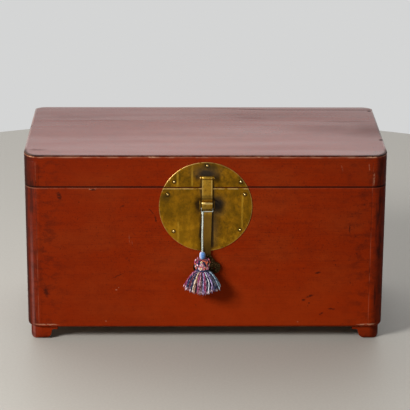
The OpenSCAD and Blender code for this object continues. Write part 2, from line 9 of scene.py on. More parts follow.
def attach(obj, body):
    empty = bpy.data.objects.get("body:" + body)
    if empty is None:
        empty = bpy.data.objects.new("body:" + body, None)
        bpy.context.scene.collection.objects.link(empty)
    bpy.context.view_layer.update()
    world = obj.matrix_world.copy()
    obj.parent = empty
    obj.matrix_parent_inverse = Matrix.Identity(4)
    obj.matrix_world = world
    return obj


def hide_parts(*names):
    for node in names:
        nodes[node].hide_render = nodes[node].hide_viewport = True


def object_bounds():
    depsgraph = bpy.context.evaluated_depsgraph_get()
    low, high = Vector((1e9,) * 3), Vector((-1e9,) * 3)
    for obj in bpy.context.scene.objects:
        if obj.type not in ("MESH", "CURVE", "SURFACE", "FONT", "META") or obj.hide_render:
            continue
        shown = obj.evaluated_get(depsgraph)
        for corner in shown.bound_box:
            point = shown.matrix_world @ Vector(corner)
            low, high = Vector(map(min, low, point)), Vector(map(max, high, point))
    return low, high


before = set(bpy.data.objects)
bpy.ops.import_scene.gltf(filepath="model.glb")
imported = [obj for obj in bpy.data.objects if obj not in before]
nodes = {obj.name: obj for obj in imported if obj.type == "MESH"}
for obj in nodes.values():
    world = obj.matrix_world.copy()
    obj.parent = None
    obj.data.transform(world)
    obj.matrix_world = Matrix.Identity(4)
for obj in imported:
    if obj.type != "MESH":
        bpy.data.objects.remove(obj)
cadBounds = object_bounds()
mm = 0.001
random.seed(7)
print("frame loaded,", len(nodes), "nodes")

# Camera

camera = {
    "place": (-0.0538, -3.8934, 1.5464),
    "target": (-0.0014, -0.186, 0.305),
    "roll": 0.277,  # degrees, anticlockwise
    "lens": 163.8,  # millimetres
}


def makeCamera():
    lens = bpy.data.cameras.new("camera")
    lens.lens = camera["lens"]
    lens.sensor_width = 36
    lens.clip_end = 30
    eye = bpy.data.objects.new("camera", lens)
    eye.location = camera["place"]
    look = (Vector(camera["target"]) - eye.location).to_track_quat("-Z", "Y")
    eye.rotation_mode = "QUATERNION"
    eye.rotation_quaternion = look @ Quaternion((0, 0, 1), math.radians(camera["roll"]))
    bpy.context.scene.collection.objects.link(eye)
    bpy.context.scene.camera = eye


makeCamera()
print("camera placed")

# Shader maths on sockets


class Link:
    def __init__(self, shader, socket):
        self.shader = shader
        self.socket = socket

    def maths(self, operation, *values):
        return self.shader.node("Math", {"operation": operation}, dict(enumerate(values)))

    def __add__(self, other):
        return self.maths("ADD", self, other)

    def __radd__(self, other):
        return self.maths("ADD", other, self)

    def __sub__(self, other):
        return self.maths("SUBTRACT", self, other)

    def __rsub__(self, other):
        return self.maths("SUBTRACT", other, self)

    def __mul__(self, other):
        return self.maths("MULTIPLY", self, other)

    def __rmul__(self, other):
        return self.maths("MULTIPLY", other, self)

    def __truediv__(self, other):
        return self.maths("DIVIDE", self, other)

    def __pow__(self, other):
        return self.maths("POWER", self, other)

    def size(self):
        return self.maths("ABSOLUTE", self)

    def most(self, other):
        return self.maths("MAXIMUM", self, other)

    def least(self, other):
        return self.maths("MINIMUM", self, other)

    def ramp(self, low, high, start, end):  # a smooth change from start to end
        steps = {"interpolation_type": "SMOOTHSTEP"}
        values = dict(enumerate((self, low, high, start, end)))
        return self.shader.node("MapRange", steps, values)

    def rise(self, low, high):  # 0 below low and 1 above high
        return self.ramp(low, high, 0.0, 1.0)

    def fall(self, low, high):  # 1 below low and 0 above high
        return self.ramp(low, high, 1.0, 0.0)


def tint(colour):
    return colour if isinstance(colour, Link) else (*colour, 1.0)


class Shader:  # the node tree of a material or of the room
    def __init__(self, owner):
        owner.use_nodes = True
        self.tree = owner.node_tree
        self.tree.nodes.clear()

    def node(self, kind, settings=None, values=None, output=0):
        made = self.tree.nodes.new("ShaderNode" + kind)
        for name, value in (settings or {}).items():
            setattr(made, name, value)
        for name, value in (values or {}).items():
            if isinstance(value, Link):
                self.tree.links.new(value.socket, made.inputs[name])
            else:
                made.inputs[name].default_value = value
        return Link(self, made.outputs[output]) if made.outputs else None

    def split(self, vector):
        parts = self.node("SeparateXYZ", {}, {0: vector}).socket.node
        return [Link(self, socket) for socket in parts.outputs]


class Finish(Shader):  # a material whose tones are laid one over the other
    def __init__(self, name, colour):
        self.material = bpy.data.materials.new(name)
        super().__init__(self.material)
        self.colour = colour
        metres = self.node("TexCoord", output=3)
        self.place = self.vector("MULTIPLY", metres, (1 / mm, 1 / mm, 1 / mm))  # millimetres
        self.x, self.y, self.z = self.split(self.place)

    def vector(self, operation, first, second, output=0):
        return self.node("VectorMath", {"operation": operation}, {0: first, 1: second}, output)

    def mix(self, factor, first, second):
        values = {0: factor, 6: tint(first), 7: tint(second)}
        return self.node("Mix", {"data_type": "RGBA"}, values, 2)

    def lay(self, factor, tone):  # a tone over the colour so far
        self.colour = self.mix(factor, self.colour, tone)

    def noise(self, size, detail=3.0, roughness=0.5, place=None):
        # size is one blotch's along X, Y and Z in millimetres
        scaled = self.vector("DIVIDE", place or self.place, size)
        values = {"Vector": scaled, "Scale": 1.0, "Detail": detail, "Roughness": roughness}
        return self.node("TexNoise", {}, values)

    def specks(self, size):  # how far the nearest of many scattered points is
        values = {"Vector": self.place, "Scale": 1 / size}
        return self.node("TexVoronoi", {"feature": "F1"}, values)

    def stain(self, centre, size, soft=0.5, turn=0.0, ragged=None):
        # 1 inside an oval about centre, worn off towards its rim; turn is in degrees about Y
        away = self.vector("SUBTRACT", ragged or self.place, centre)
        if turn:
            values = {"Vector": away, "Axis": (0, 1, 0), "Angle": math.radians(turn)}
            away = self.node("VectorRotate", {}, values)
        away = self.vector("LENGTH", self.vector("DIVIDE", away, size), (0, 0, 0), output=1)
        return away.fall(soft, 1.0)

    def ragged(self, reach, size):  # places pushed about by a noise, for uneven outlines
        values = {"Vector": self.place, "Scale": 1 / size, "Detail": 3.0, "Roughness": 0.6}
        push = self.node("TexNoise", {}, values, output=1)
        push = self.vector("SUBTRACT", push, (0.5, 0.5, 0.5))
        push = self.vector("MULTIPLY", push, (2 * reach, 2 * reach, 2 * reach))
        return self.vector("ADD", self.place, push)

    def surface(self, roughness, height=None, constants=None, metallic=0.0):
        values = {"Base Color": tint(self.colour), "Roughness": roughness, "Metallic": metallic}
        if height is not None:  # height is in millimetres
            bump = {"Strength": 1.0, "Distance": mm, "Height": height}
            values["Normal"] = self.node("Bump", {}, bump)
        shader = self.node("BsdfPrincipled", {}, {**values, **(constants or {})})
        self.node("OutputMaterial", {}, {"Surface": shader})
        return self.material


def union(masks):
    total = masks[0]
    for mask in masks[1:]:
        total = total.most(mask)
    return total


# Studio

studio = {
    "floorColour": (0.33, 0.308, 0.272),
    "floorReach": 1.52,  # where the floor ends and the backdrop begins, from the chest's middle
    "backdrop": (0.66, 0.665, 0.665),
    "overhead": 0.50,  # how bright the room is straight above
    "right": 0.35,  # how bright it is to the right
    "ahead": 0.34,  # how bright it is on the viewer's side
    "glow": 2.9,  # how much brighter a window high up behind the chest makes it
    "key": {"place": (-2.55, -2.05, 2.0), "size": 1.0, "power": 192},
    "fill": {"place": (2.6, -2.6, 1.6), "size": 1.6, "power": 10},
}


def makeLight(name, place, size, power, aim=(0, 0, 0.25)):
    lamp = bpy.data.lights.new(name, "AREA")
    lamp.shape = "SQUARE"
    lamp.size = size
    lamp.energy = power
    light = bpy.data.objects.new(name, lamp)
    light.location = place
    light.rotation_euler = (Vector(aim) - Vector(place)).to_track_quat("-Z", "Y").to_euler()
    light.visible_camera = False
    bpy.context.scene.collection.objects.link(light)


def makeFloor():
    finish = Finish("floor", studio["floorColour"])
    speckle = finish.noise((5, 5, 5), 2.0)
    cloud = finish.noise((300, 300, 300), 2.0)
    finish.lay(speckle.rise(0.35, 0.7) * 0.25, (0.39, 0.37, 0.33))
    finish.lay(cloud * 0.15, (0.29, 0.275, 0.245))
    reach = studio["floorReach"]
    rim = [
        (reach * math.cos(turn), reach * math.sin(turn), 0)
        for turn in (math.tau * step / 96 for step in range(96))
    ]
    mesh = bpy.data.meshes.new("floor")
    mesh.from_pydata(rim, [], [list(range(96))])
    mesh.materials.append(finish.surface(0.55))
    floor = bpy.data.objects.new("floor", mesh)
    bpy.context.scene.collection.objects.link(floor)


def makeRoom():
    world = bpy.data.worlds.new("room")
    room = Shader(world)
    x, y, z = room.split(room.node("TexCoord"))  # the direction of the view
    sides = x.ramp(0.2, 0.7, 1.0, studio["right"]) * y.ramp(-0.6, -0.1, studio["ahead"], 1.0)
    sides = sides.most(z.ramp(-0.06, -0.01, 1.0, 0.0))  # an even backdrop below
    base = z.ramp(0.15, 1.0, 1.0, studio["overhead"]) * sides
    window = z.ramp(0.19, 0.60, 0.0, studio["glow"]) * y.ramp(0.1, 0.6, 0.0, 1.0)
    window = window * x.ramp(0.0, 0.5, 1.0, 0.6)
    values = {"Color": tint(studio["backdrop"]), "Strength": base + window}
    room.node("OutputWorld", {}, {"Surface": room.node("Background", {}, values)})
    bpy.context.scene.world = world


makeFloor()
makeRoom()
for name in ("key", "fill"):
    makeLight(name, **studio[name])
bpy.context.scene.view_settings.view_transform = "Standard"
print("studio lit")

# The case: its outline in millimetres, from the frame

case = {
    "half": (cadBounds[1][0] / mm, 190.0),  # half its width and half its depth
    "middle": 4.0,  # of its depth
    "corner": 31.0,  # radius of its upright corners
    "board": 15.4,  # lacquered depth, just short of a board's thickness
    "seam": 344.2,
    "foot": 28.5,
    "edge": 412.5,  # height of the lid's front edge
    "crown": 9.0,  # rise of the lid from there to its middle
    "under": 401.2,  # underside of the lid's top
    "joint": (349.0, 155.0, 163.0),  # where boards meet posts: across, front, back
}

lacquer = {
    "red": (0.196, 0.0150, 0.0011),
    "brown": (0.118, 0.0098, 0.0018),
    "worn": (0.212, 0.0255, 0.0036),
    "dark": (0.018, 0.0052, 0.0034),
    "under": (0.40, 0.20, 0.115),  # ground that shows in chips
    "painted_light": (0.262, 0.0215, 0.0016),  # painted light on the lower front
    "pale": (0.40, 0.33, 0.30),  # painted highlight on the rounded rims of the top
    "lip": (0.36, 0.065, 0.018),  # painted highlight line under the top's edge
    "corner_highlight": (0.34, 0.145, 0.125),  # painted highlight on the rounded front corner
    "under_shade": (0.05, 0.022, 0.012),  # painted shade under the feet
    "roughness": 0.42,
    "specular": 0.016,
    "coat": {"top": 0.95, "corner": 0.05, "side": 0.02, "front": 0.0, "roughness": 0.22},
}
rawWood = {
    "brown": (0.38, 0.232, 0.118),
    "pale": (0.49, 0.318, 0.172),
    "fibre": (0.24, 0.135, 0.06),
}

# Marks on the front in millimetres: across, up, width, height, turn in degrees, and for the
# light ones their strength
darkMarks = [
    (-306.5, 325.0, 6.5, 13.5, 22),  # leaf-shaped blot
    (304.0, 252.0, 2.2, 15.0, 0),
    (221.6, 84.5, 3.2, 2.6, 0),
    (-338.0, 110.0, 9.0, 16.0, 20),
    (-165.8, 186.8, 2.6, 2.4, 0),
    (-162.0, 182.0, 1.6, 1.6, 0),
    (27.0, 308.0, 9.0, 22.0, 0),
    (239.5, 153.5, 9.0, 2.8, 14),
    (253.0, 126.0, 2.2, 2.2, 0),
    (222.5, 100.0, 12.0, 3.6, 24),
    (210.0, 91.0, 5.0, 3.4, 0),
    (270.0, 71.0, 11.0, 3.4, -12),
    (248.0, 60.0, 6.5, 3.0, 28),
    (284.0, 84.0, 2.0, 1.8, 0),
    (321.0, 196.0, 2.2, 2.6, 0),
    (276.0, 171.0, 2.0, 2.0, 0),
    (308.0, 131.0, 1.8, 2.2, 0),
    (-174.2, 302.7, 5.0, 2.0, 8),
    (-114.0, 291.0, 2.2, 11.0, 42),
    (-105.0, 274.0, 2.8, 12.0, 12),
    (-185.0, 146.5, 21.0, 1.3, 26),
    (-236.0, 339.0, 10.0, 3.6, 0),
    (-19.6, 80.0, 1.6, 1.6, 0),
    (19.0, 54.7, 1.8, 1.6, 0),
    (-66.5, 54.8, 1.6, 1.6, 0),
]
lightMarks = [
    (-160.5, 229.0, 0.9, 14.0, 6, 0.17),
    (-155.0, 221.0, 0.8, 7.0, 4, 0.14),
    (-241.0, 339.8, 4.5, 1.6, 0, 0.55),  # chips under the seam
    (-231.0, 340.4, 3.0, 1.3, 0, 0.45),
    (284.0, 386.0, 0.9, 9.0, 12, 0.22),
    (352.0, 362.0, 2.4, 18.0, 0, 0.42),
    (341.0, 388.0, 1.6, 11.0, 6, 0.24),
    (-212.0, 43.0, 2.2, 1.6, 0, 0.6),
    (-189.0, 115.0, 2.6, 1.8, 0, 0.40),
    (-184.0, 120.0, 1.4, 1.4, 0, 0.40),
    (198.0, 41.0, 2.4, 1.6, 0, 0.6),
    (-363.0, 409.6, 8.0, 1.9, 0, 0.8),
    (-112.0, 409.6, 10.0, 1.5, 0, 0.8),
    (110.0, 409.8, 5.0, 1.3, 0, 0.6),
    (346.0, 409.8, 14.0, 1.5, 0, 0.8),
    (-341.0, 35.2, 33.0, 2.0, 0, 0.55),
    (346.0, 35.0, 26.0, 2.4, 0, 0.72),
]
# Nicks in the rim of the top: across, deep, reach
topNicks = [(-378.0, 13.0, 5.5), (371.0, 145.0, 5.5), (374.0, -91.0, 5.5)]
# Dull fields on the top: across, deep, width, depth, strength
dullFields = [
    (105.0, 78.0, 75.0, 13.0, 0.38),
    (76.0, 110.0, 36.0, 10.0, 0.30),
    (290.0, -14.0, 180.0, 60.0, 0.24),
    (365.0, -20.0, 120.0, 80.0, 0.40),
    (310.0, 44.0, 110.0, 12.0, 0.30),
    (250.0, 0.0, 100.0, 9.0, 0.26),
    (330.0, -44.0, 110.0, 10.0, 0.34),
    (120.0, 100.0, 300.0, 70.0, 0.20),
    (-290.0, 84.0, 150.0, 22.0, 0.24),
    (-220.0, 52.0, 170.0, 12.0, 0.18),
    (-352.0, -148.0, 26.0, 8.0, 0.50),
]


def caseDepth(finish):  # how far in a place lies from the case's rounded sides
    halfX, halfY = case["half"]
    acrossX = finish.x.size() - (halfX - case["corner"])
    acrossY = (finish.y - case["middle"]).size() - (halfY - case["corner"])
    roundX, roundY = acrossX.most(0.0), acrossY.most(0.0)
    corner = (roundX * roundX + roundY * roundY) ** 0.5
    return case["corner"] - corner - acrossX.most(acrossY).least(0.0)


def woodColour(finish):
    turned = finish.node("CombineXYZ", {}, {0: finish.y, 1: finish.x, 2: finish.z})
    atEnd = finish.x.size().rise(357, 358)  # the end boards' grain runs front to back
    values = {0: atEnd, 4: finish.place, 5: turned}
    along = finish.node("Mix", {"data_type": "VECTOR"}, values, 1)
    plank = finish.noise((320, 11, 11), 4.0, 0.55, along)
    fibre = finish.noise((40, 0.9, 0.9), 2.0, 0.5, along)
    colour = finish.mix(plank.rise(0.3, 0.75), rawWood["brown"], rawWood["pale"])
    return finish.mix(fibre.rise(0.45, 0.75) * 0.35, colour, rawWood["fibre"])


class Lacquer(Finish):
    def __init__(self):
        super().__init__("lacquer", lacquer["red"])
        across = (self.y - case["middle"]) / case["half"][1]
        top = case["edge"] + case["crown"] * (1 - across * across)
        self.below = top - self.z  # down from the crowned top
        self.flat = self.below.fall(2.0, 6.0)  # 1 on the top
        self.inward = caseDepth(self)
        self.face = self.stain((0, -186, 215), (2000, 30, 2000), 0.9)  # 1 near the front
        self.mottle = self.noise((26, 26, 16), 4.0, 0.65)
        self.uneven = self.noise((18, 18, 9), 3.0, 0.6) * 6
        self.chipNoise = self.noise((5.5, 5.5, 3.2), 4.0, 0.7)

    def fields(self):  # slow clouds, a grain along the boards, a darker top, painted light and shade across the front and at its ends
        x, z = self.x, self.z
        cloud = self.noise((150, 150, 90), 4.0, 0.6)
        streak = self.noise((240, 240, 7), 3.0, 0.55)
        grain = self.noise((120, 120, 1.5), 3.0, 0.6)
        grit = self.noise((3.4, 3.4, 2.6), 2.0, 0.6)
        lined = 1 - self.flat * 0.7
        self.lay(cloud.rise(0.38, 0.68) * 0.7, lacquer["worn"])
        self.lay(self.mottle.rise(0.42, 0.72) * 0.42, lacquer["brown"])
        self.lay(streak.rise(0.45, 0.70) * 0.20 * lined, lacquer["brown"])
        self.lay(grain.rise(0.50, 0.72) * 0.22 * lined, lacquer["dark"])
        self.lay(grit.rise(0.56, 0.70) * 0.42 * lined, lacquer["dark"])
        self.lay(grit.fall(0.32, 0.42) * 0.30 * lined, lacquer["worn"])
        self.lay(z.rise(250, 410) * 0.22, lacquer["brown"])
        # painted shade: darker towards the right, more so higher up, and over the left half of
        # the front
        sideShade = x.rise(200, 372) * (0.20 + z.rise(60, 300) * 0.18)
        self.lay(sideShade.most(x.fall(-330, -20) * 0.42), lacquer["brown"])
        # painted light on the lower front, stronger right of the left third
        lower = z.fall(50, 230) * self.face
        self.lay(lower * (0.12 + x.rise(-200, 20) * 0.33), lacquer["painted_light"])
        ends = (x.fall(-376, -340) * 0.60).most(x.rise(350, 380) * 0.40)  # painted shade at both ends, more on the left
        ends = ends * (1 + z.rise(335, 350) * 0.3) * (1 - self.flat * 0.85)
        self.lay(ends, lacquer["dark"])

    def wear(self):  # edges: a painted dark reflection along the lid's top edge, painted highlights on the other rims and under the top's edge, then streaked, rubbed and chipped through
        x, y, z, inward = self.x, self.y, self.z, self.inward
        lidSide = inward.most(self.below)  # near the lid's top edge
        footSide = inward.most((z - case["foot"]).size())
        seamSide = inward.most((z - case["seam"]).size())
        ahead = y.fall(-168, -120)
        # painted dark reflection along the lid's top edge, strongest at the front, and on the
        # top just behind it
        rim = self.flat * inward.fall(2.0, 8.5) * (0.70 + x.size().rise(290, 350) * 0.25)
        rim = rim * y.fall(-160, -130)  # along the front edge alone
        worst = lidSide.fall(1.2, 2.8) * (0.20 + ahead * 0.72)
        self.darkEdgeReflection = union([worst, lidSide.fall(3.0, 9.0) * (0.06 + ahead * 0.24), rim])
        self.lay(self.darkEdgeReflection, lacquer["dark"])
        self.rimHighlight = lidSide.fall(1.5, 7.0) * (1 - ahead)  # painted highlight on all rims but the front one
        self.lay(self.rimHighlight * 0.42, lacquer["pale"])
        # painted highlight line under the top's edge, paler in uneven patches
        lip = (self.below - 3.6).size().fall(0.6, 1.6) * inward.fall(1.0, 3.0)
        self.lay(lip * 0.5, lacquer["lip"])
        self.lay(lip * self.uneven.rise(2.6, 3.7) * 0.42, lacquer["under"])
        crack = (y - 159 - x.fall(-20, 170) * 21).size().fall(2.0, 5.5)
        self.crack = crack * x.rise(-20, 110) * self.flat
        self.lay(self.crack * 0.62, lacquer["dark"])
        upright = (inward + self.uneven).fall(3.0, 9.0)
        upright = upright * self.noise((9, 9, 60), 3.0, 0.6).rise(0.5, 0.62)
        corner = (x.size() - 356).rise(0, 6) * ((y - case["middle"]).size() - 165).rise(0, 6)
        self.lay(upright * corner * 0.6, lacquer["dark"])
        rubbed = lidSide.fall(2.2, 5.5) * self.noise((30, 30, 30), 3.0, 0.6).rise(0.45, 0.6)
        self.lay(rubbed * 0.12, lacquer["under"])
        self.chips = union([
            lidSide.fall(1.5, 4.5) * self.chipNoise.rise(0.68, 0.71),
            (footSide + self.uneven * 0.3).fall(1.5, 4.0) * self.chipNoise.rise(0.52, 0.57),
            seamSide.fall(1.0, 2.2) * self.chipNoise.rise(0.66, 0.69),
        ])

    def joints(self):  # where boards and posts meet; painted shade and a painted highlight on the left corner, darker ends of the front and a darker top
        x, y, z = self.x, self.y, self.z
        away, front, back = case["joint"]
        away = away + (-1 * x).rise(0, 1) * 6.3  # the left one lies further out
        line = (x.size() - away).size().fall(0.2, 1.1)
        line = line.most((y + front).size().least((y - back).size()).fall(0.2, 1.1))
        self.joint = line * z.fall(397, 399) * z.rise(case["foot"], case["foot"] + 2)
        broken = self.noise((14, 14, 46), 3.0, 0.6).rise(0.42, 0.60)
        self.lay(self.joint * (1 - broken) * 0.45, lacquer["dark"])
        self.lay(self.joint * broken * self.face * 0.13, lacquer["under"])
        # painted shade on the outermost turn of the left front corner
        outerShade = (x + 378).size().fall(1.5, 5.5) * y.fall(-145, -115) * (1 - self.flat)
        self.lay(outerShade * 0.7, lacquer["dark"])
        # painted highlight down the left front corner, strongest low down
        corner_highlight = (x + 367).size().fall(1.0, 4.5) * z.fall(120, 330)
        self.lay(corner_highlight * 0.20, lacquer["corner_highlight"])
        # mottled darkening towards both ends of the front
        mottledEnds = (x.size() - 270).rise(0, 80) * self.mottle.rise(0.44, 0.66)
        self.lay(mottledEnds * self.face * 0.34, lacquer["dark"])
        self.lay(self.flat * 0.17, lacquer["dark"])

    def marks(self):  # single marks on the front, nicks and dull fields on the top
        ragged, smudged = self.ragged(1.6, 9.0), self.ragged(3.4, 6.0)
        drifting = self.ragged(16, 70)
        dark = union([
            self.stain((across, -186, up), (wide, 24, tall), 0.25, turn, smudged)
            for across, up, wide, tall, turn in darkMarks
        ]) * self.chipNoise.rise(0.30, 0.52)
        light = union([
            self.stain((across, -186, up), (wide, 24, tall), 0.5, turn, ragged) * strength
            for across, up, wide, tall, turn, strength in lightMarks
        ]) * self.chipNoise.rise(0.40, 0.5)
        self.dullTop = self.flat * union([
            self.stain((across, deep, 418), (wide, long, 60), 0.0, 0, drifting) * strength
            for across, deep, wide, long, strength in dullFields
        ])
        self.nicks = union([
            self.stain((across, deep, 417), (reach, reach, 14), 0.6)
            for across, deep, reach in topNicks
        ])
        small = self.specks(12).fall(0.03, 0.07) * 0.7
        self.pits = self.specks(23).fall(0.04, 0.07).most(small)
        self.lay(union([dark * 0.78, self.nicks * 0.9, self.pits * 0.5]), lacquer["dark"])
        self.lay((self.chips * 0.8).most(light), lacquer["under"])
        self.lay(self.dullTop * 0.9, lacquer["dark"])

    def bareWood(self):  # painted shade in the seam and a painted highlight on its rim, the raw wood inside, painted shade on the feet
        x, z = self.x, self.z
        board, under, foot = case["board"], case["under"], case["foot"]
        # the dark seam between lid and box, widened with painted shade
        seamShade = (z - case["seam"] - 0.5).size().fall(0.9, 2.5)
        self.lay(seamShade * 0.9, lacquer["dark"])
        # painted highlight on the box's rim under the seam, stronger on the left
        seamHighlight = (z - 341.4).size().fall(0.6, 1.5) * (0.05 + x.fall(-330, -80) * 0.10)
        self.lay(seamHighlight * self.uneven.rise(1.5, 3.0), lacquer["under"])
        inside = self.inward.rise(board - 0.3, board) * z.fall(under - 0.4, under)
        self.bare = inside * z.rise(foot - 0.5, foot)
        self.lay(self.bare, woodColour(self))
        # painted shade on the right foot
        rightFootShade = x.rise(300, 330) * z.fall(foot - 1, foot)
        self.lay(rightFootShade * 0.25, lacquer["dark"])
        # painted shade on the feet, under the case
        underFootShade = self.inward.rise(19, 20) * z.fall(foot - 0.5, foot)
        self.lay(underFootShade * 0.8, lacquer["under_shade"])

    def coated(self):  # gloss and relief, with a clear coat that is wet on the top alone
        x, coat = self.x, lacquer["coat"]
        haze = self.noise((60, 60, 60), 4.0, 0.6)
        scuff = self.noise((3, 3, 3), 3.0, 0.6)
        gloss = lacquer["roughness"] + haze.rise(0.35, 0.7) * 0.10 + scuff * 0.06
        gloss = gloss + (self.chips + self.bare).least(1.0) * 0.45
        sag = self.noise((160, 60, 60), 2.0) * 0.15
        ripple = self.noise((60, 60, 4), 2.0) * 0.05
        height = sag + ripple + self.pits * -0.15 + self.chips * -0.25
        height = height + self.joint * -0.12 + scuff * 0.012
        drag = self.noise((420, 34, 34), 3.0, 0.5).rise(0.30, 0.70)
        side = coat["side"] + (coat["corner"] - coat["side"]) * (x.size() - 352).rise(0, 12)
        side = side + (coat["front"] - side) * (self.face * x.size().fall(350, 360))
        wet = coat["top"] * (0.80 + drag * 0.20) * (1 - self.dullTop)
        wet = (side + (wet - side) * self.flat).most(self.rimHighlight * 0.9)
        dry = union([self.chips + self.bare, self.darkEdgeReflection * 0.9, self.nicks, self.crack * 0.7])
        return self.surface(gloss, height, {
            "Specular IOR Level": lacquer["specular"],
            "Coat Weight": wet * (1 - dry.least(1.0)),
            "Coat Roughness": coat["roughness"],
        })


def makeLacquer():
    finish = Lacquer()
    finish.fields()
    finish.wear()
    finish.joints()
    finish.marks()
    finish.bareWood()
    return finish.coated()


caseNodes = [
    name
    for name in nodes
    if name.endswith(("_board", "_post", "_foot", "_rail", "_block")) or name == "lid_top"
]


def soften(piece, width, segments=2):  # takes the knife edge off a made piece
    weld = piece.modifiers.new("weld", "WELD")
    weld.merge_threshold = 0.01 * mm
    edge = piece.modifiers.new("edge", "BEVEL")
    edge.width = width * mm
    edge.segments = segments
    edge.limit_method = "ANGLE"
    edge.angle_limit = math.radians(35)
    edge.harden_normals = True


def dress(names, material, edge):
    for name in names:
        piece = nodes[name]
        piece.data.materials.clear()
        piece.data.materials.append(material)
        soften(piece, edge)


dress(caseNodes, makeLacquer(), 0.5)
crown = nodes["lid_top"].modifiers.new("crown", "WEIGHTED_NORMAL")  # one smooth curve
crown.keep_sharp = True
print("case lacquered,", len(caseNodes), "pieces")

# Brass

brass = {
    "gold": (0.43, 0.192, 0.0085),
    "olive": (0.245, 0.117, 0.0060),
    "bright": (0.78, 0.52, 0.17),
    "dark": (0.045, 0.028, 0.010),
    "black": (0.014, 0.009, 0.005),
    "roughness": 0.38,
}
plate = {
    "middle": 301.0,
    "radius": 98.0,
    "shade": (0.125, 0.064, 0.006),
    "sunny": (0.60, 0.29, 0.013),
    "lit": (0.62, 0.30, 0.012),
    "streak": (0.66, 0.36, 0.03),
    "green": (0.050, 0.034, 0.010),
    # patina, with painted shade round the pin, beside the bridge and under the strap: place and
    # size, and strength
    "patinaAndShade": [
        ((1, -188, 376), (46, 30, 24)),
        ((3, -188, 338), (21, 30, 34)),
        ((16, -188, 302), (42, 30, 38)),
        ((9, -188, 250), (28, 30, 70)),
    ],
    # soot round the pin and beside the bridge, with painted shadows beside the bridge and the
    # tail
    "sootAndShadow": [
        ((1, -188, 375), (33, 30, 15), 1.0),
        ((-2, -188, 384), (50, 30, 24), 0.5),
        ((24, -188, 366), (12, 30, 18), 0.8),
        ((-17, -188, 367), (10, 30, 14), 0.8),
        ((26, -188, 307), (22, 30, 27), 1.0),
        ((-15, -188, 305), (15, 30, 31), 1.0),
        ((-9, -188, 250), (7, 30, 66), 1.0),
        ((23, -188, 268), (14, 30, 44), 0.5),
    ],
}
hasp = {
    "middle": 3.0,
    "gold": (0.70, 0.41, 0.052),
    "olive": (0.50, 0.26, 0.024),
    "tail": (0.23, 0.118, 0.019),
    "lobe": (0.030, 0.016, 0.007),
    "fleck": (0.62, 0.40, 0.20),
    # edge is a painted highlight along the strap's edges
    "edge": (0.95, 0.66, 0.20),
    "bridge_highlight": (0.98, 0.74, 0.30),
}
rods = {  # bright and dull tone, and roughness
    "polished_brass": ((0.98, 0.74, 0.34), (0.66, 0.42, 0.12), 0.20),
    "dulled_brass": (brass["gold"], brass["olive"], 0.40),
    "sooty_brass": ((0.22, 0.115, 0.012), (0.07, 0.036, 0.007), 0.42),
}


def islands(name, reach=8 * mm):  # middles of a node's separate solids
    groups = []
    for vertex in nodes[name].data.vertices:
        for group in groups:
            if (group[0] - vertex.co).length < reach:
                group.append(vertex.co)
                break
        else:
            groups.append([vertex.co])
    return [sum(group, Vector()) / len(group) for group in groups]


def brassFinish(name, gold, olive):
    finish = Finish(name, olive)
    cloud = finish.noise((32, 32, 40), 4.0, 0.65)
    mottle = finish.noise((7, 7, 9), 4.0, 0.7)
    brushed = finish.noise((0.7, 0.7, 60), 3.0, 0.6)
    finish.lay(cloud.rise(0.36, 0.66), gold)
    finish.lay(mottle.rise(0.50, 0.74) * 0.55, brass["dark"])
    finish.lay(brushed.rise(0.5, 0.8) * 0.2, brass["olive"])
    return finish


def brassHeight(finish):
    hammered = finish.noise((22, 22, 22), 2.0) * 0.25
    pitted = finish.noise((1.6, 1.6, 1.6), 3.0, 0.7) * 0.03
    scratched = finish.noise((0.35, 0.35, 26), 2.0) * 0.012
    return hammered + pitted + scratched


